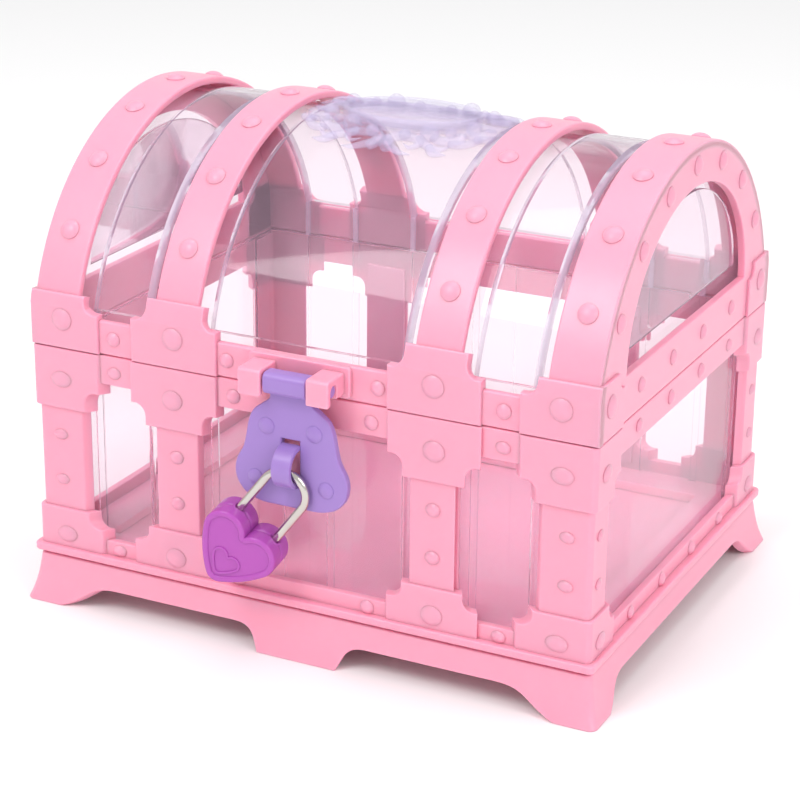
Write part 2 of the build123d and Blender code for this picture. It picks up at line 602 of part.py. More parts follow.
# ---------------------------------------------------------------- lock works, held in a cast block
BOLT_TIP, BOLT_Y, BOLT_T = LEG_X - WIRE_R - 0.2, -3.1, 1.2  # latch withdrawn, as it stands unlocked
STEM_X, LATCH_TRAVEL = 2.7, 0.9
PIN_ORBIT, CAM_R = 0.64, 0.5
CAM = (PLUG[0] - PIN_ORBIT * sin(radians(45)), PLUG[1] + PIN_ORBIT * cos(radians(45)))
FLOOR = -BOLT_T / 2 - 0.1
SPRING_Y = -6.0
with BuildPart() as lock_block:
    with BuildSketch(LOCK.offset(-SEAT)):
        heart(2.0)
        with Locations((0, -6.3)):
            Rectangle(40, 12.6, mode=Mode.INTERSECT)
    extrude(amount=2 * SEAT)
    for x, top, radius, depth in ((-LEG_X, 3, WIRE_R + 0.05, 8), (-LEG_X, -3.2, COLLAR_R + 0.1, 7.4),
                                  (LEG_X, 3, WIRE_R + 0.05, 7.6)):
        with BuildSketch(leg_plane(x, top)):
            Circle(radius)
        extrude(amount=depth, mode=Mode.SUBTRACT)
    # channel for the latch, open towards the front shell
    with BuildSketch(LOCK.offset(FLOOR)):
        latch_outline(0.3, LATCH_TRAVEL)
        with Locations((STEM_X - 0.95, SPRING_Y)):
            Rectangle(1.9, 1.7)
    extrude(amount=6, mode=Mode.SUBTRACT)
    with BuildSketch(LOCK.offset(-4)):
        with Locations(PLUG[:2]):
            Circle(PLUG[2] + 0.05)
    extrude(amount=4 + FLOOR, mode=Mode.SUBTRACT)
lock_block.part.label = "lock_block"

with BuildPart() as latch_bolt:
    with BuildSketch(LOCK):
        latch_outline()
        with Locations((CAM[0], (CAM[1] + PLUG[1] + PIN_ORBIT) / 2)):
            Rectangle(2 * CAM_R + 0.16, 2 * CAM_R + 0.6, mode=Mode.SUBTRACT)
    extrude(amount=BOLT_T / 2, both=True)
latch_bolt.part.label = "latch_bolt"

with BuildPart() as key_plug:
    with BuildSketch(LOCK.offset(-LOCK_T)):
        with Locations(PLUG[:2]):
            Circle(PLUG[2])
    extrude(amount=LOCK_T + FLOOR - 0.15)
    with BuildSketch(LOCK.offset(FLOOR - 0.2)):
        with Locations(CAM):
            Circle(CAM_R)
    extrude(amount=BOLT_T + 0.5)
    with BuildSketch(LOCK.offset(-LOCK_T)):
        with Locations(PLUG[:2]):
            Rectangle(0.9, 2.8)
    extrude(amount=3, mode=Mode.SUBTRACT)
key_plug.part.label = "key_plug"


def coil(start, direction, length, radius, wire_r, turns):
    """A compression spring from start along direction."""
    with BuildLine() as axis:
        Helix(length / turns, length, radius, center=start, direction=direction)
    with BuildSketch(Plane(axis.line @ 0, z_dir=axis.line % 0)) as section:
        Circle(wire_r)
    sweep(section.sketch, path=axis.line)


with BuildPart() as latch_spring:
    coil(LOCK.from_local_coords((STEM_X - 1.7, SPRING_Y, 0)), LOCK.x_dir, 1.5, 0.5, 0.12, 4)
latch_spring.part.label = "latch_spring"

with BuildPart() as shackle_spring:
    coil(LOCK.from_local_coords((-LEG_X, LEG_END - 1.75, 0)), LOCK.y_dir, 1.5, 1.1, 0.17, 4)
shackle_spring.part.label = "shackle_spring"

os.makedirs("parts", exist_ok=True)
chest = (plinth, base_frame, base_screws, base_liner, hinge_pins, lid_frame, lid_liner, hasp)
padlock = (shackle, padlock_front, padlock_rear, case_screw, lock_block, latch_bolt, key_plug, latch_spring,
           shackle_spring)
for piece in chest + padlock:
    export_step(piece.part, "parts/" + piece.part.label + ".step")
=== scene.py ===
import json
from math import acos, asin, cos, degrees, pi, radians, sin

import bmesh
import bpy
from mathutils import Matrix, Vector


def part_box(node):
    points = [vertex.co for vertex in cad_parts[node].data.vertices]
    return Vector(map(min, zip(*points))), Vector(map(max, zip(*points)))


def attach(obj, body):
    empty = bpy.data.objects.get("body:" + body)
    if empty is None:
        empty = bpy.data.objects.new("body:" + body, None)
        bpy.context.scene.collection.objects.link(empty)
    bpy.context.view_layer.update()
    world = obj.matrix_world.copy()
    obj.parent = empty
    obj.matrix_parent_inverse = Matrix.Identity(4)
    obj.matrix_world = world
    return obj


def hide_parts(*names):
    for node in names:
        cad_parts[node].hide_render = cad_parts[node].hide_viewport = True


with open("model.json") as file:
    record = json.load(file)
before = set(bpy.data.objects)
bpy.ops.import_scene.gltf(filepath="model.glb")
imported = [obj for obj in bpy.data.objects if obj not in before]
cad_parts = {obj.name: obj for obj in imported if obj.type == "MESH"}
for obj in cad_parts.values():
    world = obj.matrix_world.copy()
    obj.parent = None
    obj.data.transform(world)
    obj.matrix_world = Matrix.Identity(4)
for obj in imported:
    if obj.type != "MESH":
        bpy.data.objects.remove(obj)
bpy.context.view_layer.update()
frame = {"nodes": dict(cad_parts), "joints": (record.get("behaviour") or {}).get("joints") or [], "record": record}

# ---------------------------------------------------------------- sizes, in millimetres, from the frame
MM = 0.001
skirt_low, skirt_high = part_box("plinth")
MID_Y = (skirt_low.y + skirt_high.y) / 2  # the chest's middle, in metres
SKIRT_FLARE = 4.9
HALF_W = skirt_high.x / MM - SKIRT_FLARE
HALF_D = (skirt_high.y - MID_Y) / MM - SKIRT_FLARE
SEAM_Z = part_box("base_liner")[1].z / MM + 0.3
LID_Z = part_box("lid_liner")[0].z / MM
PLINTH_TOP = skirt_high.z / MM
FRAME_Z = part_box("base_frame")[0].z / MM
PROUD, FRAME_T, PANEL_STEP, LINER_T = 1.0, 2.4, 1.2, 1.6
RAIL_LOW_Z, RAIL_HIGH_Z, LID_RAIL_Z = SEAM_Z - 59.0, SEAM_Z - 9.0, SEAM_Z + 10.5
LEDGE_LOW, LEDGE_HIGH, LEDGE_OUT = FRAME_Z + 0.8, FRAME_Z + 3.3, 2.5
STRAP_X, STRAP_HALF, POST_X, POST_Y = 41.3, 7.0, 74.0, 58.0
ARC_R, ARC_Z = 71.8, SEAM_Z - 5.5
MOON_W, MOON_H, MOON_Z = 49.0, 40.5, SEAM_Z + 13.7
ARCH_RIVET_R = 66  # the end arches' rivets stand on this circle
RIVET_R, RIVET_H, STUD_R = 2.2, 1.25, 3.3
CORNER = 1.7  # rounding of the chest's upright corners
WINDOWS = ((-POST_X, -STRAP_X - STRAP_HALF), (-STRAP_X + STRAP_HALF, STRAP_X - STRAP_HALF),
           (STRAP_X + STRAP_HALF, POST_X))
UPPER = (SEAM_Z, SEAM_Z - 12.4, SEAM_Z - 16.2, SEAM_Z - 18.8)  # plaque heights: edge, step, cove, end
LOWER = (LEDGE_HIGH - 0.5, SEAM_Z - 55.8, SEAM_Z - 52.6, SEAM_Z - 51.0)
LID_STRAP = (LID_Z, SEAM_Z + 13.2, SEAM_Z + 16.6, SEAM_Z + 19.5)
LID_CORNER = (LID_Z, SEAM_Z + 12.0, SEAM_Z + 15.2, SEAM_Z + 16.8)
PLAQUE_STEP = 1.3
# half widths of the plaques, wide and narrow
STRAP_PLAQUE, CORNER_PLAQUE, SIDE_PLAQUE = (14.2, 9.5), (22.2, 17.4), (17.3, 13.4)
STUD_Z, POST_RIVET_Z = (SEAM_Z - 9.5, SEAM_Z - 59.3), (SEAM_Z - 42, SEAM_Z - 27.5)
STUD_X, STUD_Y = 79, 62  # corner studs, on the front and rear and on the ends
POST_RIVET_X, POST_RIVET_Y = 81.5, 63.5
RAIL_RIVET_Y = (12.5, 37.5)
LEDGE_RIVET_Z = LEDGE_HIGH + 1.8

joints = {joint["name"]: joint for joint in frame["joints"]}


# ---------------------------------------------------------------- places
def chest(x, y, z):
    """A point given in millimetres from the chest's middle."""
    return Vector((x * MM, MID_Y + y * MM, z * MM))


def chest_y(y):
    """The same for a coordinate that is already in metres."""
    return (y - MID_Y) / MM


def ring(flare=None, corner=CORNER):
    """Bends a strip round the chest: u runs along front, right side, rear and left side; v is up, h is out."""
    def place(u, v, h):
        out = h + (flare(v) if flare else 0)
        u %= 4 * (HALF_W + HALF_D)
        for along, across, tangent, normal in (
            (HALF_W, HALF_D, Vector((1, 0)), Vector((0, -1))),
            (HALF_D, HALF_W, Vector((0, 1)), Vector((1, 0))),
            (HALF_W, HALF_D, Vector((-1, 0)), Vector((0, 1))),
            (HALF_D, HALF_W, Vector((0, -1)), Vector((-1, 0))),
        ):
            if u <= 2 * along:
                break
            u -= 2 * along
        s = u - along
        straight = along - corner
        if abs(s) <= straight:
            flat = tangent * (s * (along + out - corner) / straight) + normal * (across + out)
        else:
            turn = (abs(s) - straight) / corner * pi / 4
            side = 1 if s > 0 else -1
            flat = tangent * side * (along + out - corner) + normal * (across + out - corner)
            flat += (normal * cos(turn) + tangent * side * sin(turn)) * corner
        return chest(flat.x, flat.y, v)
    return place


# middles of the sides, along u
FRONT_U, RIGHT_U, REAR_U = HALF_W, 2 * HALF_W + HALF_D, 3 * HALF_W + 2 * HALF_D
LEFT_U = 4 * HALF_W + 3 * HALF_D
LAP_U = 4 * HALF_W + 2 * HALF_D - 8  # the strip's ends meet on the rear left post
AROUND = 4 * (HALF_W + HALF_D)
CORNERS_U = (0, 2 * HALF_W, 2 * HALF_W + 2 * HALF_D, 4 * HALF_W + 2 * HALF_D)
BRINK = asin(HALF_D / ARC_R) * ARC_R  # how far from the crown, over the barrel, its upright sides begin
BRINK_Z = ARC_Z + ARC_R * cos(BRINK / ARC_R)


def barrel(u, v, h):
    """Bends a sheet over the lid: u is along X, v runs from the crown towards the rear, h is out."""
    if abs(v) <= BRINK:
        turn = v / ARC_R
        return chest(u, (ARC_R + h) * sin(turn), ARC_Z + (ARC_R + h) * cos(turn))
    side = 1 if v > 0 else -1
    return chest(u, side * (HALF_D + h), BRINK_Z - (abs(v) - BRINK))


def over(z):
    """How far from the crown, over the barrel, height z lies."""
    return ARC_R * acos((z - ARC_Z) / ARC_R) if z > BRINK_Z else BRINK + BRINK_Z - z


def end_wall(side):
    """An end of the chest: u is towards the rear, v is up."""
    return lambda u, v, h: chest(side * (HALF_W + h), u, v)


def level(z):
    return lambda u, v, h: chest(u, v, z + h)


def along_x(u, v, h):
    """A section drawn in Y and Z, with its length along X."""
    return chest(h, u, v)


def facing(y):
    """An upright face towards the front: u is along X, v is up."""
    return lambda u, v, h: chest(u, y - h, v)


def tangent_frame(place, u, v, h=0.0):
    """The matrix that stands a small part on a bent sheet, in metres, its Z outwards."""
    spot = place(u, v, h)
    normal = (place(u, v, h + 0.1) - spot).normalized()
    right = (place(u + 0.1, v, h) - place(u - 0.1, v, h)).normalized()
    up = normal.cross(right)
    turn = Matrix((right, up, normal)).transposed().to_4x4()
    return Matrix.Translation(spot) @ turn @ Matrix.Scale(MM, 4)


# ---------------------------------------------------------------- mesh tools
def rectangle(u0, u1, v0, v1):
    return [(u0, v0), (u1, v0), (u1, v1), (u0, v1)]


def ellipse(u, v, ru, rv, start=0.0, end=360.0, steps=48):
    """Points along an ellipse; a whole one doesn't repeat its first point."""
    count = steps if end - start == 360 else steps + 1
    angles = [radians(start + (end - start) * k / steps) for k in range(count)]
    return [(u + ru * cos(a), v + rv * sin(a)) for a in angles]


def rounded(u0, u1, v0, v1, r, steps=5):
    """A rectangle with round corners."""
    corners = ((u1 - r, v1 - r, 0), (u0 + r, v1 - r, 90), (u0 + r, v0 + r, 180), (u1 - r, v0 + r, 270))
    return [p for u, v, a in corners for p in ellipse(u, v, r, r, a, a + 90, steps)]


def smooth_path(points, steps=8):
    """A Catmull-Rom curve through points, in any number of dimensions."""
    points = [Vector(p) for p in points]
    padded = [2 * points[0] - points[1], *points, 2 * points[-1] - points[-2]]
    path = []
    for a, b, c, d in zip(padded, padded[1:], padded[2:], padded[3:]):
        for k in range(steps):
            t = k / steps
            path.append(0.5 * (2 * b + (c - a) * t + (2 * a - 5 * b + 4 * c - d) * t * t
                               + (3 * b - a - 3 * c + d) * t ** 3))
    return path + [points[-1]]


def steps_between(low, high, step):
    count = max(1, round((high - low) / step))
    return [low + (high - low) * k / count for k in range(count + 1)]


def sheet(bm, loops, low, high, bevel, place, u_cuts=(), v_cuts=(), keep_u=None):
    """Adds a plate with rounded rims: closed outlines in (u, v), thick from h = low to high, bent by place.

    u_cuts and v_cuts are where it is creased so that it can bend; keep_u trims it to two values of u."""
    curve = bpy.data.curves.new("outline", "CURVE")
    curve.dimensions = "2D"
    curve.fill_mode = "BOTH"
    curve.extrude = (high - low) / 2 - bevel
    curve.bevel_depth = bevel
    curve.bevel_resolution = 2
    curve.offset = -bevel
    for loop in loops:
        spline = curve.splines.new("POLY")
        spline.points.add(len(loop) - 1)
        for point, (u, v) in zip(spline.points, loop):
            point.co = (u, v, 0, 1)
        spline.use_cyclic_u = True
    shape = bpy.data.objects.new("outline", curve)
    bpy.context.scene.collection.objects.link(shape)
    mesh = bpy.data.meshes.new_from_object(shape.evaluated_get(bpy.context.evaluated_depsgraph_get()))
    bpy.data.objects.remove(shape)
    bpy.data.curves.remove(curve)
    plate = bmesh.new()
    plate.from_mesh(mesh)
    bpy.data.meshes.remove(mesh)
    bmesh.ops.remove_doubles(plate, verts=plate.verts, dist=0.0005)
    cuts = [(u, Vector((1, 0, 0)), False) for u in u_cuts] + [(v, Vector((0, 1, 0)), False) for v in v_cuts]
    if keep_u:
        cuts += [(keep_u[0], Vector((-1, 0, 0)), True), (keep_u[1], Vector((1, 0, 0)), True)]
    for value, normal, trim in cuts:
        spot = Vector((abs(normal.x), abs(normal.y), 0)) * value
        geometry = [*plate.verts, *plate.edges, *plate.faces]
        bmesh.ops.bisect_plane(plate, geom=geometry, dist=0.0005, plane_co=spot, plane_no=normal,
                               clear_outer=trim)
    middle = (low + high) / 2
    for vert in plate.verts:
        vert.co = place(vert.co.x, vert.co.y, vert.co.z + middle)
    if keep_u:
        bmesh.ops.remove_doubles(plate, verts=plate.verts, dist=0.002 * MM)
    merge(bm, plate)


def merge(bm, part):
    """Moves part's faces into bm, their normals outwards."""
    bmesh.ops.recalc_face_normals(part, faces=part.faces)
    mesh = bpy.data.meshes.new("part")
    part.to_mesh(mesh)
    part.free()
    bm.from_mesh(mesh)
    bpy.data.meshes.remove(mesh)


def lathe(bm, profile, matrix, segments=32):
    """Adds a solid of revolution: profile points (radius, height), closed where the radius is 0."""
    part = bmesh.new()
    rings = []
    for radius, height in profile:
        if radius == 0:
            rings.append([part.verts.new(matrix @ Vector((0, 0, height)))])
            continue
        angles = [2 * pi * k / segments for k in range(segments)]
        spots = [Vector((radius * cos(a), radius * sin(a), height)) for a in angles]
        rings.append([part.verts.new(matrix @ spot) for spot in spots])
    for a, b in zip(rings, rings[1:]):
        for k in range(segments):
            corners = [a[k % len(a)], a[(k + 1) % len(a)], b[(k + 1) % len(b)], b[k % len(b)]]
            part.faces.new(list(dict.fromkeys(corners)))
    merge(bm, part)


def tube(bm, path, radius, segments=20, flat=1.0, up=None):
    """Adds a closed tube along points in metres; radius is a number or a function of the share of the way."""
    part = bmesh.new()
    count = len(path) - 1
    size = radius if callable(radius) else lambda share: radius
    side = None
    rings = []
    for k, spot in enumerate(path):
        forward = (path[min(k + 1, count)] - path[max(k - 1, 0)]).normalized()
        if up is not None:
            side = forward.cross(up(k)).normalized()
        elif side is None:
            side = forward.orthogonal().normalized()
        else:
            side = (side - forward * side.dot(forward)).normalized()
        lift = side.cross(forward)
        r = size(k / count) * MM
        angles = [2 * pi * n / segments for n in range(segments)]
        rings.append([part.verts.new(spot + side * cos(a) * r + lift * sin(a) * r * flat) for a in angles])
    for a, b in zip(rings, rings[1:]):
        for n in range(segments):
            part.faces.new((a[n], a[(n + 1) % segments], b[(n + 1) % segments], b[n]))
    part.faces.new(rings[0])
    part.faces.new(rings[-1])
    merge(bm, part)


def dome(bm, place, u, v, radius, height=RIVET_H):
    """Adds a moulded rivet: a low round head with a soft foot, sunk a little into its sheet."""
    shares = (0.0, 0.3, 0.55, 0.75, 0.88, 0.96, 1.0)
    profile = [(0, height)] + [(radius * s, height * (1 - 0.8 * s ** 2.4)) for s in shares[1:]]
    profile += [(radius, -0.4), (0, -0.4)]
    lathe(bm, profile, tangent_frame(place, u, v), 24)


def piece(bm, name, body, material, replaces=(), sharp=34, weighted=True):
    """Makes the finished object from a mesh in metres."""
    mesh = bpy.data.meshes.new(name)
    bm.to_mesh(mesh)
    bm.free()
    mesh.polygons.foreach_set("use_smooth", [True] * len(mesh.polygons))
    mesh.set_sharp_from_angle(angle=radians(sharp))
    obj = bpy.data.objects.new(name, mesh)
    bpy.context.scene.collection.objects.link(obj)
    obj.data.materials.append(material)
    if weighted:
        normals = obj.modifiers.new("weighted_normals", "WEIGHTED_NORMAL")
        normals.weight = 100
        normals.keep_sharp = True
    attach(obj, body)
    if replaces:
        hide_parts(*replaces)
    return obj


# ---------------------------------------------------------------- materials
def node(tree, kind, **settings):
    made = tree.nodes.new(kind)
    for key, value in settings.items():
        if hasattr(made, key):
            setattr(made, key, value)
        else:
            made.inputs[key.replace("_", " ")].default_value = value
    return made


def blank_material(name):
    material = bpy.data.materials.new(name)
    material.use_nodes = True
    material.node_tree.nodes.clear()
    tree = material.node_tree
    return material, tree, node(tree, "ShaderNodeOutputMaterial"), node(tree, "ShaderNodeTexCoord")


def noise(tree, coordinates, scale, detail=3.0):
    made = node(tree, "ShaderNodeTexNoise", Scale=scale, Detail=detail)
    tree.links.new(coordinates.outputs["Object"], made.inputs["Vector"])
    return made


def ranged(tree, source, low, high, start=0.35, end=0.65):
    made = node(tree, "ShaderNodeMapRange", From_Min=start, From_Max=end, To_Min=low, To_Max=high)
    tree.links.new(source.outputs[0], made.inputs["Value"])
    return made


def bumped(tree, source, distance, strength, target):
    made = node(tree, "ShaderNodeBump", Strength=strength, Distance=distance)
    tree.links.new(source.outputs[0], made.inputs["Height"])
    tree.links.new(made.outputs[0], target.inputs["Normal"])


def moulded(name, colour, deeper, roughness, soft=0.0):
    """Injection-moulded plastic: faint flow mottling, a fine satin skin and a slow waviness in the gloss."""
    material, tree, output, place = blank_material(name)
    shader = node(tree, "ShaderNodeBsdfPrincipled")
    shader.inputs["IOR"].default_value = 1.49
    shader.inputs["Subsurface Weight"].default_value = soft
    shader.inputs["Subsurface Radius"].default_value = (1.0, 0.45, 0.55)
    shader.inputs["Subsurface Scale"].default_value = 0.004
    flow = noise(tree, place, 45.0, 1.5)
    tint = node(tree, "ShaderNodeMix", data_type="RGBA")
    tint.inputs[6].default_value = (*deeper, 1)
    tint.inputs[7].default_value = (*colour, 1)
    share = ranged(tree, flow, 0.0, 1.0, 0.15, 0.85)
    tree.links.new(share.outputs[0], tint.inputs[0])
    tree.links.new(tint.outputs[2], shader.inputs["Base Color"])
    polish = ranged(tree, noise(tree, place, 90.0, 1.0), roughness - 0.015, roughness + 0.015, 0.2, 0.8)
    tree.links.new(polish.outputs[0], shader.inputs["Roughness"])
    bumped(tree, noise(tree, place, 2600.0, 2.0), 0.00002, 0.25, shader)
    tree.links.new(shader.outputs[0], output.inputs[0])
    return material


def clear(name, tint, haze_painted_glow_tint, haze_share, ior, coat):
    """Clear moulded polystyrene with a faint haze, which lets lamps through to what it covers. The haze is tinted
    pink as painted glow, standing for light thrown on it by the pink mouldings.
    """
    material, tree, output, place = blank_material(name)
    glass = node(tree, "ShaderNodeBsdfPrincipled")
    glass.inputs["Base Color"].default_value = (*tint, 1)
    glass.inputs["Transmission Weight"].default_value = 1.0
    glass.inputs["IOR"].default_value = ior
    glass.inputs["Coat Weight"].default_value = coat
    glass.inputs["Coat Roughness"].default_value = 0.04
    polish = ranged(tree, noise(tree, place, 60.0), 0.0, 0.03)
    tree.links.new(polish.outputs[0], glass.inputs["Roughness"])
    # the haze's pink colour is painted glow, for light from the pink mouldings
    haze = node(tree, "ShaderNodeBsdfDiffuse")
    haze.inputs["Color"].default_value = (*haze_painted_glow_tint, 1)
    body = node(tree, "ShaderNodeMixShader")
    body.inputs[0].default_value = haze_share
    tree.links.new(glass.outputs[0], body.inputs[1])
    tree.links.new(haze.outputs[0], body.inputs[2])
    through = node(tree, "ShaderNodeBsdfTransparent")
    through.inputs["Color"].default_value = (*[0.5 + 0.5 * c for c in tint], 1)
    lamp = node(tree, "ShaderNodeLightPath")
    mix = node(tree, "ShaderNodeMixShader")
    tree.links.new(lamp.outputs["Is Shadow Ray"], mix.inputs[0])
    tree.links.new(body.outputs[0], mix.inputs[1])
    tree.links.new(through.outputs[0], mix.inputs[2])
    tree.links.new(mix.outputs[0], output.inputs[0])
    return material


def clear_with_tinted_share(name, colour, roughness, share):
    """Clear plastic mixed with a share of opaque glossy colour. On the vault's steps that colour is painted shade,
    standing for the dark refraction lines along them.
    """
    material, tree, output, place = blank_material(name)
    shader = node(tree, "ShaderNodeBsdfPrincipled")
    shader.inputs["Base Color"].default_value = (*colour, 1)
    polish = ranged(tree, noise(tree, place, 300.0), roughness - 0.05, roughness + 0.05)
    tree.links.new(polish.outputs[0], shader.inputs["Roughness"])
    through = node(tree, "ShaderNodeBsdfTransparent")
    mix = node(tree, "ShaderNodeMixShader")
    mix.inputs[0].default_value = share
    tree.links.new(through.outputs[0], mix.inputs[1])
    tree.links.new(shader.outputs[0], mix.inputs[2])
    tree.links.new(mix.outputs[0], output.inputs[0])
    return material


def metal(name, colour, roughness, grain=900.0, depth=0.00001):
    """Plated or bright metal with a fine drawn grain and handling haze."""
    material, tree, output, place = blank_material(name)
    shader = node(tree, "ShaderNodeBsdfPrincipled")
    shader.inputs["Base Color"].default_value = (*colour, 1)
    shader.inputs["Metallic"].default_value = 1.0
    haze = ranged(tree, noise(tree, place, 260.0), roughness, roughness + 0.12)
    tree.links.new(haze.outputs[0], shader.inputs["Roughness"])
    bumped(tree, noise(tree, place, grain), depth, 0.3, shader)
    tree.links.new(shader.outputs[0], output.inputs[0])
    return material


PINK = moulded("pink_moulding", (0.93, 0.355, 0.48), (0.925, 0.345, 0.472), 0.3, 0.45)
PURPLE = moulded("purple_moulding", (0.34, 0.205, 0.55), (0.335, 0.2, 0.54), 0.3, 0.05)
MAGENTA = moulded("magenta_moulding", (0.44, 0.08, 0.44), (0.435, 0.078, 0.435), 0.24, 0.05)
# the pink haze colour here is painted glow from the pink mouldings around the clear parts
CLEAR = clear("clear_moulding", (0.985, 0.95, 0.975), (0.98, 0.64, 0.86), 0.045, 1.16, 0.3)
# lavender-grey step colour: painted shade for the dark refraction lines along the vault's steps
STEP_PAINTED_SHADE = clear_with_tinted_share("step_painted_shade", (0.74, 0.68, 0.86), 0.3, 0.45)
CRYSTAL = clear_with_tinted_share("clear_ornament", (0.68, 0.62, 0.85), 0.1, 0.26)
NICKEL = metal("nickel_plate", (0.6, 0.57, 0.53), 0.1)
ZINC = metal("zinc_plate", (0.66, 0.67, 0.7), 0.26)
SPRING = metal("spring_wire", (0.55, 0.55, 0.57), 0.2)
BRASS = metal("cast_brass", (0.75, 0.55, 0.26), 0.38, 420.0, 0.00005)
FINISH = {"pink_plastic": PINK, "purple_plastic": PURPLE, "magenta_plastic": MAGENTA, "clear_plastic": CLEAR,
          "nickel_wire": NICKEL, "zinc_steel": ZINC, "spring_steel": SPRING, "brass_cast": BRASS}


# ---------------------------------------------------------------- plaques
def plaque_side(wide, narrow, heights, side):
    """One side of a plaque, from its edge to its end: a small step and a quarter-round cove."""
    edge, step, cove, end = heights
    rise = abs(cove - step)
    down = 1 if step < cove else -1
    inner = wide - PLAQUE_STEP
    arc = [(side * (inner - (inner - narrow) * sin(a)), cove - down * rise * cos(a))
           for a in [radians(90 * k / 8) for k in range(9)]]
    return [(side * wide, edge), (side * wide, step), *arc, (side * narrow, end)]


def plaque(at, half_widths, heights, left=1.0, right=1.0, bend=lambda z: z):
    """A plaque's outline round u = at; left and right scale its two half widths."""
    wide, narrow = half_widths
    on_right = plaque_side(wide * right, narrow * right, heights, 1)
    on_left = plaque_side(wide * left, narrow * left, heights, -1)
    return [(at + u, bend(z)) for u, z in on_right + on_left[::-1]]


def corner_plaque(at, front_first, heights):
    """A plaque that folds round an upright corner, wide on the front or rear and narrower on the side."""
    first, second = (CORNER_PLAQUE, SIDE_PLAQUE) if front_first else (SIDE_PLAQUE, CORNER_PLAQUE)
    on_right = plaque_side(*second, heights, 1)
    on_left = plaque_side(*first, heights, -1)
    return [(at + u, z) for u, z in on_right + on_left[::-1]]


def corner_cuts(at):
    return [at + CORNER * k / 4 for k in range(-4, 5)]


# ---------------------------------------------------------------- base frame
def base_frame():
    bm = bmesh.new()
    wall, proud_wall = ring(), ring(lambda v: PROUD)
    strip = rectangle(LAP_U - AROUND - 5, LAP_U + 5, FRAME_Z, SEAM_Z)
    windows = []
    for low, high in WINDOWS:
        windows.append(rectangle(FRONT_U + low, FRONT_U + high, RAIL_LOW_Z, RAIL_HIGH_Z))
        windows.append(rectangle(REAR_U + low, REAR_U + high, RAIL_LOW_Z, RAIL_HIGH_Z))
    for middle in (RIGHT_U, LEFT_U - AROUND):
        windows.append(rectangle(middle - POST_Y, middle + POST_Y, RAIL_LOW_Z, RAIL_HIGH_Z))
    cuts = [u - (AROUND if u > LAP_U else 0) for corner in CORNERS_U for u in corner_cuts(corner)]
    sheet(bm, [strip, *windows], -FRAME_T, 0, 0.45, wall, cuts, keep_u=(LAP_U - AROUND, LAP_U))
    for heights in (UPPER, LOWER):
        for middle in (FRONT_U, REAR_U):
            for x in (-STRAP_X, STRAP_X):
                sheet(bm, [plaque(middle + x, STRAP_PLAQUE, heights)], -FRAME_T - 0.1, PROUD, 0.45, wall)
        for k, corner in enumerate(CORNERS_U):
            outline = corner_plaque(corner, k in (1, 3), heights)
            sheet(bm, [outline], -FRAME_T - 0.1, PROUD, 0.45, wall, corner_cuts(corner))
    ledge = rectangle(LAP_U - AROUND - 5, LAP_U + 5, LEDGE_LOW, LEDGE_HIGH)
    sheet(bm, [ledge], -FRAME_T + 0.1, LEDGE_OUT, 0.6, wall, cuts, keep_u=(LAP_U - AROUND, LAP_U))
    # rivets
    for middle in (FRONT_U, REAR_U):
        for side in (-1, 1):
            for x, z in ((62, SEAM_Z - 5), (22, SEAM_Z - 5), (62, LEDGE_RIVET_Z), (21, LEDGE_RIVET_Z)):
                dome(bm, wall, middle + side * x, z, RIVET_R)
            for z in POST_RIVET_Z:
                dome(bm, wall, middle + side * POST_RIVET_X, z, RIVET_R)
                dome(bm, wall, middle + side * STRAP_X, z, RIVET_R)
            for z in STUD_Z:
                dome(bm, proud_wall, middle + side * STUD_X, z, STUD_R)
                dome(bm, proud_wall, middle + side * STRAP_X, z, STUD_R)
    for middle in (RIGHT_U, LEFT_U):
        for side in (-1, 1):
            for y in RAIL_RIVET_Y:
                dome(bm, wall, middle + side * y, SEAM_Z - 4.5, RIVET_R)
                dome(bm, wall, middle + side * y, LEDGE_RIVET_Z, RIVET_R)
            for z in POST_RIVET_Z:
                dome(bm, wall, middle + side * POST_RIVET_Y, z, RIVET_R)
            for z in STUD_Z:
                dome(bm, proud_wall, middle + side * STUD_Y, z, STUD_R)
    # inward flange, ribs behind the posts, catch tongue and the boss that the hasp closes on
    inner_w, inner_d = HALF_W - FRAME_T, HALF_D - FRAME_T
    flange = [rectangle(-inner_w - 0.5, inner_w + 0.5, -inner_d - 0.5, inner_d + 0.5),
              rectangle(-inner_w + 12, inner_w - 12, -inner_d + 12, inner_d - 12)]
    sheet(bm, flange, FRAME_Z, FRAME_Z + 3, 0.3, level(0))
    for side in (-1, 1):
        for x in (-STRAP_X, STRAP_X):
            rib = rectangle(x - STRAP_HALF, x + STRAP_HALF, RAIL_LOW_Z - 2, RAIL_HIGH_Z + 2)
            sheet(bm, [rib], inner_d - 1.0, inner_d + 0.2, 0.3, lambda u, v, h, s=side: chest(u, s * h, v))
    sheet(bm, [rectangle(-6, 6, SEAM_Z - 34, RAIL_HIGH_Z + 2)], -FRAME_T, 0, 0.4, facing(-HALF_D))
    boss_top = -chest_y(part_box("base_frame")[0].y) - HALF_D
    sheet(bm, [rectangle(-4.5, 4.5, SEAM_Z - 25, SEAM_Z - 11)], -1, boss_top, 0.5, facing(-HALF_D))
    knuckles(bm, -1.65, ((-12, -5), (5, 12)))
    piece(bm, "base_frame_moulding", "base", PINK, ["base_frame"])


def knuckles(bm, arm, spans):
    """Hinge knuckles at the rear: a barrel round the pin, and an arm from the rail at the given height."""
    pin = joints["lid_hinge"]["pos_m"]
    y, z = chest_y(pin[1]), pin[2] / MM
    pin_r = (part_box("hinge_pins")[1].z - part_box("hinge_pins")[0].z) / MM / 2
    for x in (-62, 62):
        for low, high in spans:
            sheet(bm, [ellipse(y, z, 3.5, 3.5), ellipse(y, z, pin_r + 0.03, pin_r + 0.03, steps=24)],
                  x + low, x + high, 0.35, along_x)
            sheet(bm, [rectangle(HALF_D - 0.5, y - pin_r - 0.3, z + arm - 1.65, z + arm + 1.65)],
                  x + low, x + high, 0.35, along_x)


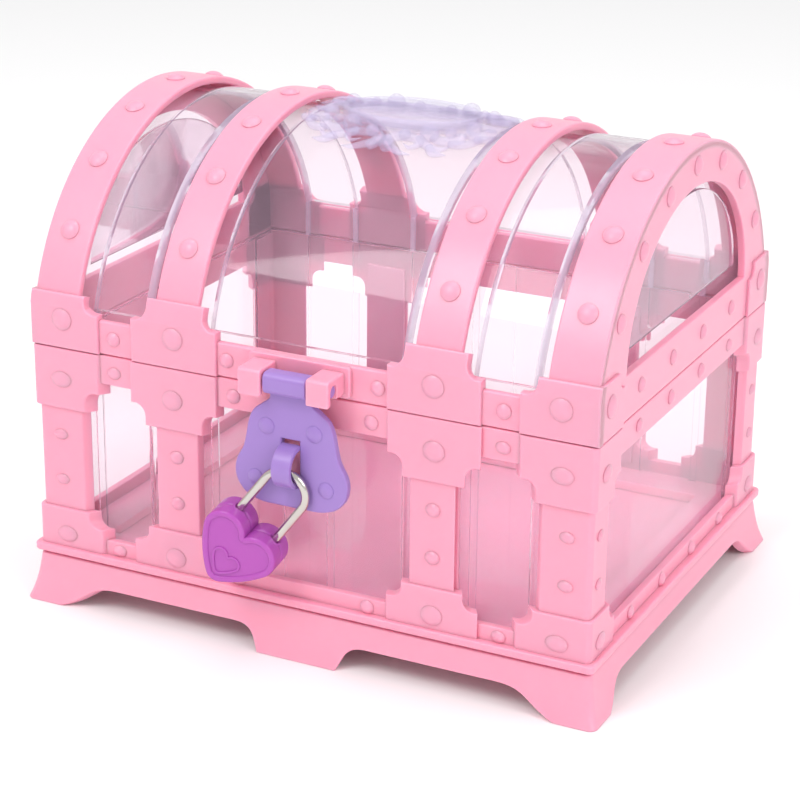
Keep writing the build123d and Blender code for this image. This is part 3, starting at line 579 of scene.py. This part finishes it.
# ---------------------------------------------------------------- plinth
def plinth():
    bm = bmesh.new()

    def flare(z):
        """The skirt leans out, more quickly towards its foot."""
        share = 1 - max(0.0, z) / PLINTH_TOP
        return 1.4 + (SKIRT_FLARE - 1.4) * (0.55 * share + 0.45 * share ** 3)

    def bezier(a, b, c, d, steps=10):
        a, b, c, d = Vector(a), Vector(b), Vector(c), Vector(d)
        shares = [k / steps for k in range(steps + 1)]
        return [tuple(a * (1 - t) ** 3 + b * 3 * t * (1 - t) ** 2 + c * 3 * t * t * (1 - t) + d * t ** 3)
                for t in shares]

    half_arch = (bezier((12.2, 0), (14.5, 3.5), (14.5, 7.5), (21, 7.5))
                 + bezier((61, 7.5), (70, 7.5), (69.5, 3.5), (77, 0)))
    side_arch = bezier((-58, 0), (-52, 3), (-54, 8), (-45, 8)) + bezier((45, 8), (54, 8), (52, 3), (58, 0))
    outline = []
    long_arches = [(-x, z) for x, z in half_arch[::-1]] + half_arch
    for middle, arches in (
        (LEFT_U - AROUND, side_arch), (FRONT_U, long_arches), (RIGHT_U, side_arch), (REAR_U, long_arches)
    ):
        outline += [(middle + u, z) for u, z in arches]
    start, end = LAP_U - AROUND, LAP_U
    outline = [(start - 5, 0), *outline, (end + 5, 0), (end + 5, PLINTH_TOP), (start - 5, PLINTH_TOP)]
    cuts = [u - (AROUND if u > LAP_U else 0) for corner in CORNERS_U
            for u in [corner + 2.5 * k / 4 for k in range(-4, 5)]]
    sheet(bm, [outline], -3, 0, 0.55, ring(flare, 2.5), cuts, (2.5, 5, 7.5, 10, 12.5), keep_u=(start, end))
    # deck, and bosses for the screws
    deck = rectangle(-HALF_W - 0.4, HALF_W + 0.4, -HALF_D - 0.4, HALF_D + 0.4)
    sheet(bm, [deck], PLINTH_TOP - 2.6, PLINTH_TOP - 0.02, 0.3, level(0))
    boss_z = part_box("base_screws")[0].z / MM + 1.6
    for x in (-80, 0, 80):
        for y in (-60, 60):
            loops = [ellipse(x, y, 4, 4), ellipse(x, y, 1.45, 1.45, steps=20)]
            sheet(bm, loops, boss_z, PLINTH_TOP - 2.4, 0.3, level(0))
    piece(bm, "plinth_moulding", "base", PINK, ["plinth"])


# ---------------------------------------------------------------- lid frame
def profile(h, low_z, step=2.0):
    """The lid's end profile as (y, z) points, from the front foot over the crown to the rear foot."""
    ends = over(low_z)
    points = [barrel(0, v, h) for v in steps_between(-ends, ends, step)]
    return [(chest_y(p.y), p.z / MM) for p in points]


def lid_frame():
    bm = bmesh.new()
    foot = over(LID_Z)
    bend_cuts = steps_between(-BRINK, BRINK, 2.4) + [-BRINK - 1.5, BRINK + 1.5]
    rail = over(LID_RAIL_Z)
    skin = [rectangle(-HALF_W, HALF_W, -foot, foot)] + [rectangle(a, b, -rail, rail) for a, b in WINDOWS]
    sheet(bm, skin, -FRAME_T, 0, 0.7, barrel, v_cuts=bend_cuts)
    for side in (-1, 1):
        moon = ellipse(0, MOON_Z, MOON_W, MOON_H, 0, 180)
        sheet(bm, [profile(-0.7, LID_Z + 0.05), moon], -FRAME_T, 0.03, 0.4, end_wall(side))
    for side in (-1, 1):
        for x in (-STRAP_X, STRAP_X):
            outline = plaque(x, STRAP_PLAQUE, LID_STRAP, bend=lambda z, s=side: s * over(z))
            sheet(bm, [outline], -FRAME_T - 0.1, PROUD, 0.45, barrel, v_cuts=bend_cuts)
        for end in (-1, 1):
            edge = end * (HALF_W + PROUD)
            inner = plaque_side(*CORNER_PLAQUE, LID_CORNER, -end)
            outline = [(end * HALF_W + u, side * over(z)) for u, z in inner]
            outline += [(edge, side * over(LID_CORNER[3])), (edge, side * over(LID_Z))]
            sheet(bm, [outline], -FRAME_T - 0.1, PROUD, 0.6, barrel, v_cuts=bend_cuts)
            inner = plaque_side(*SIDE_PLAQUE, LID_CORNER, -side)
            outline = [(side * HALF_D + u, z) for u, z in inner]
            heights = steps_between(over(LID_CORNER[3]), over(LID_Z), 2)
            rim = [barrel(0, side * v, PROUD - 0.6) for v in heights]
            outline += [(chest_y(p.y), p.z / MM) for p in rim]
            sheet(bm, [outline], -FRAME_T, PROUD + 0.03, 0.4, end_wall(end))
    # rivets
    for side in (-1, 1):
        for x in (-62, -24, 24, 62):
            dome(bm, barrel, x, side * over(SEAM_Z + 5.5), RIVET_R)
        for x in (-STUD_X, -STRAP_X, STRAP_X, STUD_X):
            dome(bm, lambda u, v, h: barrel(u, v, h + PROUD), x, side * over(SEAM_Z + 9.3), STUD_R)
        for y in [end * y for end in (-1, 1) for y in RAIL_RIVET_Y]:
            dome(bm, end_wall(side), y, SEAM_Z + 7.5, RIVET_R)
        for y in (-STUD_Y, STUD_Y):
            dome(bm, lambda u, v, h, s=side: end_wall(s)(u, v, h + PROUD), y, SEAM_Z + 9.5, STUD_R)
        for turn in [radians(angle) for angle in range(33, 148, 19)]:
            dome(bm, end_wall(side), ARCH_RIVET_R * cos(turn), ARC_Z + ARCH_RIVET_R * sin(turn), 2.8, 1.35)
    for x in (-POST_RIVET_X, -STRAP_X, STRAP_X, POST_RIVET_X):
        for angle in range(-57, 58, 19):
            dome(bm, barrel, x, radians(angle) * ARC_R, 2.9, 1.4)
    knuckles(bm, 1.95, ((-4.7, 4.7),))
    hasp_jaws(bm)
    piece(bm, "lid_frame_moulding", "lid", PINK, ["lid_frame"])


JAW_IN, JAW_OUT, TRUNNION_R = 7.2, 14.3, 1.8
hasp_pin = joints["hasp_hinge"]["pos_m"]
HASP_Y, HASP_Z = chest_y(hasp_pin[1]), hasp_pin[2] / MM


def hasp_jaws(bm):
    """Two hooks on the front rail that the hasp's trunnions snap up into, and the pad between them."""
    front, top, foot = HASP_Y - 3.7, HASP_Z + 3.8, HASP_Z - 3.8
    slot = TRUNNION_R + 0.05
    hook = [(-HALF_D + 0.5, top), *ellipse(front + 1.2, top - 1.2, 1.2, 1.2, 90, 180, 4),
            (front, foot), (HASP_Y - slot, foot)]
    hook += ellipse(HASP_Y, HASP_Z, slot, slot, 180, 0, 12)
    hook += [(HASP_Y + slot, foot + 1.2), (-HALF_D + 0.5, foot + 1.2)]
    for low, high in ((-JAW_OUT, -JAW_IN), (JAW_IN, JAW_OUT)):
        sheet(bm, [hook], low, high, 0.5, along_x)
    sheet(bm, [rounded(-16, 16, SEAM_Z + 1.2, SEAM_Z + 10.4, 1.2)], -0.5, 1.4, 0.4, facing(-HALF_D))


# ---------------------------------------------------------------- hasp
def hasp():
    bm = bmesh.new()
    plate_front, plate_t = HASP_Y + 0.8, 2.4
    # half widths down the plate, with heights below the seam
    half = [(6.7, 2), (6.7, -0.6), (9.2, -2.6), (12.0, -5.0), (13.5, -8.4), (14.3, -12.5), (15.3, -16.5),
            (17.4, -20.5), (18.0, -24.0), (17.1, -27.6), (14.2, -30.8), (9.5, -32.4), (4.0, -32.6)]
    half = [(x, SEAM_Z + z) for x, z in half]
    right = [tuple(p) for p in smooth_path(half, 6)]
    outline = right + [(-x, z) for x, z in right[::-1]]
    loop_z, loop_r, hole_r, loop_half = SEAM_Z - 19.7, 6.4, 4.8, 3.0
    slot = rectangle(-2.9, 2.9, loop_z - hole_r + 0.5, loop_z + loop_r + 1.3)
    sheet(bm, [outline, slot], 0, plate_t, 0.55, lambda u, v, h: chest(u, plate_front + plate_t - h, v))
    for x, z, r in ((7.6, SEAM_Z - 9, 2.5), (11.3, SEAM_Z - 25.2, 2.4)):
        dome(bm, facing(plate_front), x, z, r, 0.8)
        dome(bm, facing(plate_front), -x, z, r, 0.8)
    # the loop: a band bent to a half ring, its ends rooted in the plate
    outer = [(plate_front - y, z) for y, z in ellipse(0, loop_z, loop_r, loop_r, -90, 90, 24)]
    inner = [(plate_front - y, z) for y, z in ellipse(0, loop_z, hole_r, hole_r, 90, -90, 20)]
    root = plate_front + 0.6
    band = [*outer, (root, loop_z + loop_r), (root, loop_z + hole_r),
            *inner, (root, loop_z - hole_r), (root, loop_z - loop_r)]
    sheet(bm, [band], -loop_half, loop_half, 0.45, along_x)
    # barrel and trunnions
    sheet(bm, [rounded(HASP_Y - 3.1, HASP_Y + 3.1, HASP_Z - 3.2, HASP_Z + 3.2, 1.9)], -6.8, 6.8, 0.5, along_x)
    sheet(bm, [ellipse(HASP_Y, HASP_Z, TRUNNION_R, TRUNNION_R, steps=32)], -JAW_OUT + 0.6, JAW_OUT - 0.6, 0.3,
          along_x)
    piece(bm, "hasp_moulding", "hasp", PURPLE, ["hasp"])


# ---------------------------------------------------------------- padlock, in its own frame
WIRE_R, BOW_R, NECK_R = 1.18, 1.3, 0.35  # the wire inside the case, outside it, and at the latch's neck
LEG_X, LEG_L, LOCK_T = 6.7, 14.5, 5.3
LONG_END, SHORT_END, NECK = -8.6, -4.2, (-3.8, -2.4)  # heights along the legs
HEART_W = 24.4
LOCK_UP = -Vector(joints["shackle_slide"]["axis"]).normalized()
LOCK_OUT = -Vector(joints["key_turn"]["axis"]).normalized()
LOCK_RIGHT = LOCK_UP.cross(LOCK_OUT)
PLUG_Y, PLUG_R, SCREW_Y = -9.5, 2.2, -16.6
LOCK_ORIGIN = Vector(joints["key_turn"]["pos_m"]) - LOCK_UP * PLUG_Y * MM


def lock(u, v, h):
    """u across the legs, v towards the bend, h out of the face."""
    return LOCK_ORIGIN + (LOCK_RIGHT * u + LOCK_UP * v + LOCK_OUT * h) * MM


def lock_frame(u, v):
    """The matrix that stands a small part on a leg's axis, in metres, its Z towards the bend."""
    turn = Matrix((LOCK_RIGHT, -LOCK_OUT, LOCK_UP)).transposed().to_4x4()
    return Matrix.Translation(lock(u, v, 0)) @ turn @ Matrix.Scale(MM, 4)


def heart(inset=0.0, width=HEART_W, at=0.0):
    """A heart's outline, moved inwards by inset: round lobes, convex sides and a rounded tip."""
    scale = width / HEART_W
    inset /= scale
    lobe = ellipse(5.7, -5.9, 6.5, 6.5, -25, degrees(acos(-5.7 / 6.5)), 32)
    start, tip = Vector(lobe[0]), Vector((3.0, -20.3))
    bend = start - Vector((cos(radians(65)), sin(radians(65)))) * (tip - start).length / 2
    shares = [k / 16 for k in range(1, 17)]
    side = [start * (1 - t) ** 2 + bend * 2 * t * (1 - t) + tip * t * t for t in shares]
    path = side[::-1] + [Vector(p) for p in lobe]
    moved = []
    for before, spot, after in zip(path[:1] + path, path, path[1:] + path[-1:]):
        along = (after - before).normalized()
        moved.append(spot + Vector((-along.y, along.x)) * inset)
    moved = [p for p in moved if p.x > 0.05]
    cleft = path[-1].y
    if inset:
        turn = degrees(acos((moved[-1].x) / inset))
        moved += [Vector(p) for p in ellipse(0, cleft, inset, inset, -turn, -90, 6)[1:-1]]
    right = [tuple(p) for p in moved]
    (u0, v0), (u1, v1) = right[:2]
    slope = (v1 - v0) / (u1 - u0)
    tip_arc = [(u0 * k / 6, v0 - slope * u0 / 2 * (1 - (k / 6) ** 2)) for k in range(-5, 6)]
    points = [*tip_arc, *right, (0, cleft - inset), *[(-u, v) for u, v in right[::-1]]]
    return [(u * scale, v * scale + at) for u, v in points]


def padlock():
    plug_hole = ellipse(0, PLUG_Y, PLUG_R + 0.08, PLUG_R + 0.08)
    screw_hole = ellipse(0, SCREW_Y, 1.45, 1.45, steps=24)
    for name, near, loops in (("padlock_front", 1, []), ("padlock_rear", -1, [plug_hole, screw_hole])):
        bm = bmesh.new()

        def place(u, v, h, side=near):
            return lock(u, v, side * h)

        sheet(bm, [heart(), heart(2.0)], 0.07, LOCK_T, 0.75, place)
        sheet(bm, [heart(1.7), *loops], 0.2, LOCK_T - 0.55, 0.15, place)
        if near > 0:
            ridge = [heart(0, 9.4, -10.6), heart(0.75, 9.4, -10.6)]
            sheet(bm, ridge, LOCK_T - 0.8, LOCK_T - 0.12, 0.2, place)
            collar = [(1.24, 1.1), (1.5, 1.35), (1.75, 1.5), (2.05, 1.2), (2.05, -1.5), (1.24, -1.5)]
            for x in (-LEG_X, LEG_X):
                lathe(bm, collar + collar[:1], lock_frame(x, -0.9))
        piece(bm, name + "_moulding", "padlock", MAGENTA, [name])


def shackle():
    bm = bmesh.new()
    bend = [(-LEG_X * cos(a), LEG_L + LEG_X * sin(a)) for a in [pi * k / 40 for k in range(41)]]
    low = [0.5, 1.0, *steps_between(2.0, LEG_L, 2)[:-1]]
    left = [(-LEG_X, v) for v in [*steps_between(LONG_END, -0.5, 2), *low]]
    right = [(LEG_X, v) for v in [SHORT_END, NECK[0] - 0.05, *NECK, NECK[1] + 0.05, -0.5, *low]]
    path = left + bend + right[::-1]

    def thickness(share):
        u, v = path[round(share * (len(path) - 1))]
        if u == LEG_X and v in NECK:
            return NECK_R
        return BOW_R if v > 0.6 else WIRE_R

    tube(bm, [lock(u, v, 0) for u, v in path], thickness, 28)
    stop = [(0, 0), (1.35, 0), (1.5, 0.15), (1.5, 0.65), (1.35, 0.8), (0, 0.8)]
    lathe(bm, stop, lock_frame(-LEG_X, LONG_END))
    piece(bm, "shackle_wire", "shackle", NICKEL, ["shackle"])


# ---------------------------------------------------------------- clear vault and its medallion
BACK = -FRAME_T - 0.2 - PANEL_STEP  # the vault's pockets lie this far inside the frame
POCKET_HALF = 10.0
PANELS = ((-POST_X + 3.3, -STRAP_X - POCKET_HALF), (-STRAP_X + POCKET_HALF, STRAP_X - POCKET_HALF),
          (STRAP_X + POCKET_HALF, POST_X - 3.3))
END_X = HALF_W + BACK


def vault():
    """A shell whose panels stand forward into the frame's openings."""
    bm = bmesh.new()
    foot, sill, ramp = over(LID_Z + 0.2), over(LID_RAIL_Z + 3), 1.4
    rows = sorted({-foot, foot, -sill - ramp, sill + ramp, *steps_between(-sill, sill, 2.4)})
    skins = []
    for depth in (0, LINER_T):
        columns = [(-END_X + depth, 0)]
        for low, high in PANELS:
            columns += [(low, 0), (low + ramp, 1), (high - ramp, 1), (high, 0)]
        columns.append((END_X - depth, 0))
        skins.append([[bm.verts.new(barrel(u, v, BACK + PANEL_STEP * (panel and abs(v) <= sill) - depth))
                       for u, panel in columns] for v in rows])
    for grid in skins:
        for a, b in zip(grid, grid[1:]):
            for k in range(len(columns) - 1):
                face = bm.faces.new((a[k], a[k + 1], b[k + 1], b[k]))
                # ramp faces take the second material, whose colour is painted shade for the refraction lines along
                # the steps
                face.material_index = int(columns[k][1] != columns[k + 1][1])
        for k in (0, -1):
            bm.faces.new([row[k] for row in grid])
    outer, inner = skins
    for n in (0, -1):
        for k in range(len(columns) - 1):
            bm.faces.new((outer[n][k], outer[n][k + 1], inner[n][k + 1], inner[n][k]))
    for k in (0, -1):
        bm.faces.new((outer[0][k], outer[-1][k], inner[-1][k], inner[0][k]))
    bmesh.ops.recalc_face_normals(bm, faces=bm.faces)
    moulding = piece(bm, "vault_moulding", "lid", CLEAR, ["lid_liner"])
    # second slot: the steps' painted shade
    moulding.data.materials.append(STEP_PAINTED_SHADE)
    bm = bmesh.new()
    for side in (-1, 1):
        moon = ellipse(0, MOON_Z + 4.5, MOON_W - 3.3, MOON_H - 7, 0, 180)
        sheet(bm, [moon], BACK - 0.3, BACK + PANEL_STEP, 0.4, end_wall(side))
    piece(bm, "vault_end_panels", "lid", CLEAR)


def crown(u, v, h):
    """The vault's outer skin round its crown."""
    return barrel(u, v, BACK + PANEL_STEP + h)


def scroll(bm, points, thick, blunt=0.35):
    """A leaf or tendril that swells and tapers along a path (u, v) over the crown."""
    flat = smooth_path([(u, v, 0) for u, v in points], 6)
    count = len(flat) - 1
    spots = [crown(p.x, p.y, 0.35) for p in flat]
    normals = [(crown(p.x, p.y, 1.0) - spot).normalized() for p, spot in zip(flat, spots)]

    def swell(share):
        return thick * max(0.12, sin(pi * min(1.0, blunt + (1 - blunt) * share)) ** 0.8)

    tube(bm, spots, swell, 10, 0.9, lambda k: normals[min(k, count)])


def bead(bm, u, v, radius):
    """A pearl, sunk a third into the skin."""
    rings = [(radius * sin(a), radius * (0.45 + cos(a))) for a in [pi * k / 12 for k in range(13)]]
    rings[0], rings[-1] = (0, rings[0][1]), (0, rings[-1][1])
    lathe(bm, rings, tangent_frame(crown, u, v), 24)


def medallion():
    bm = bmesh.new()
    flat_z = (ARC_Z + ARC_R - 0.75)
    rim = [ellipse(0, 0, 22, 14, steps=72), ellipse(0, 0, 20.2, 12.3, steps=72)]
    sheet(bm, rim, -3.2, 0.75, 0.4, level(flat_z))
    sheet(bm, [ellipse(0, 0, 20.6, 12.7, steps=72)], -2.2, -0.6, 0.2, level(flat_z))
    piece(bm, "medallion_plate", "lid", CRYSTAL)
    bm = bmesh.new()
    quarter = (
        ((3, -24.5), (1, -21), (3, -17.5), (8, -17), (11.5, -19.5), (9.5, -22.5), (6.8, -20.8)),
        ((0.8, -19), (3, -22.5), (7, -25.5), (11, -26)),
        ((10, -16.5), (14, -20.5), (18.5, -21.5), (21, -19)),
        ((14, -15.5), (18, -17), (22, -14.5), (21, -11), (18.5, -12.2)),
        ((20, -18), (24, -17.5), (27.5, -14), (27, -10.5)),
        ((22.5, -10), (26, -11.5), (29, -8), (27.5, -4.5), (25, -6)),
        ((24, -3.5), (28, -4), (31.5, -1.5)),
        ((15, -21), (17.5, -24), (21.5, -24)),
        ((26, -13), (29.5, -12.5), (31, -9)),
    )
    for su in (-1, 1):
        for sv in (-1, 1):
            for k, points in enumerate(quarter):
                scroll(bm, [(su * u, sv * v) for u, v in points], 1.75 if k in (0, 3, 5) else 1.45)
            bead(bm, su * 12.5, sv * 14.8, 2.9)
            bead(bm, su * 23.2, sv * 7.2, 2.4)
            bead(bm, su * 18.0, sv * 12.0, 1.8)
            bead(bm, su * 5.2, sv * 16.4, 1.9)
    piece(bm, "medallion_wreath", "lid", CRYSTAL, weighted=False)


# ---------------------------------------------------------------- CAD nodes that keep their own shape
def finish_nodes():
    """Gives the pieces that stay as CAD their finishes, and softens the clear bin's edges."""
    slots = {row["node"]: row["material_slot"] for row in frame["record"]["subparts"]}
    for name, obj in frame["nodes"].items():
        obj.data.materials.clear()
        obj.data.materials.append(FINISH[slots[name]])
    bin_node = frame["nodes"]["base_liner"]
    weld = bin_node.modifiers.new("weld", "WELD")
    weld.merge_threshold = 0.01 * MM
    planar = bin_node.modifiers.new("planar", "DECIMATE")
    planar.decimate_type = "DISSOLVE"
    planar.angle_limit = radians(1)
    edge = bin_node.modifiers.new("edge", "BEVEL")
    edge.width = 0.3 * MM
    edge.segments = 2
    edge.limit_method = "ANGLE"
    edge.angle_limit = radians(40)


# ---------------------------------------------------------------- stage
def stage():
    world = bpy.data.worlds.new("studio")
    bpy.context.scene.world = world
    world.use_nodes = True
    background = world.node_tree.nodes["Background"]
    background.inputs["Color"].default_value = (1.0, 0.995, 1.0, 1)
    background.inputs["Strength"].default_value = 0.78
    bm = bmesh.new()
    bmesh.ops.create_grid(bm, x_segments=8, y_segments=8, size=6.0)
    mesh = bpy.data.meshes.new("floor")
    bm.to_mesh(mesh)
    bm.free()
    floor = bpy.data.objects.new("floor", mesh)
    bpy.context.scene.collection.objects.link(floor)
    material, tree, output, place = blank_material("paper_floor")
    shader = node(tree, "ShaderNodeBsdfPrincipled")
    shader.inputs["Base Color"].default_value = (0.93, 0.93, 0.93, 1)
    shader.inputs["Roughness"].default_value = 0.9
    bumped(tree, noise(tree, place, 900.0), 0.00002, 0.1, shader)
    tree.links.new(shader.outputs[0], output.inputs[0])
    floor.data.materials.append(material)
    for name, spot, size, power in (
        ("key", (-0.3, -0.75, 0.95), 0.5, 5.0),
        ("fill", (0.95, -0.35, 0.6), 0.6, 3.2),
        ("top", (0.05, 0.15, 1.2), 0.8, 4.0),
    ):
        light = bpy.data.lights.new(name, "AREA")
        light.size = size
        light.energy = power
        lamp = bpy.data.objects.new(name, light)
        lamp.location = spot
        lamp.rotation_euler = (Vector((0, 0, 0.07)) - Vector(spot)).to_track_quat("-Z", "Y").to_euler()
        bpy.context.scene.collection.objects.link(lamp)
    view = bpy.context.scene.view_settings
    view.view_transform = "Standard"
    view.look = "None"


def camera():
    """The photographer's place, from the chest's middle and the seam, in millimetres."""
    yaw, pitch, roll = radians(26.187), radians(20.812), radians(0.587)
    away = Vector((-sin(yaw) * cos(pitch), cos(yaw) * cos(pitch), -sin(pitch)))
    right = Vector((cos(yaw), sin(yaw), 0))
    up = right.cross(away)
    right, up = right * cos(roll) + up * sin(roll), up * cos(roll) - right * sin(roll)
    data = bpy.data.cameras.new("camera")
    data.lens = 107.4
    data.sensor_width = 36.0
    data.clip_start, data.clip_end = 0.02, 20.0
    eye = bpy.data.objects.new("camera", data)
    turn = Matrix((right, up, -away)).transposed().to_4x4()
    eye.matrix_world = Matrix.Translation(chest(300.8, -618.2, SEAM_Z + 235.8)) @ turn
    bpy.context.scene.collection.objects.link(eye)
    bpy.context.scene.camera = eye


finish_nodes()
base_frame()
plinth()
lid_frame()
hasp()
padlock()
shackle()
vault()
medallion()
stage()
camera()
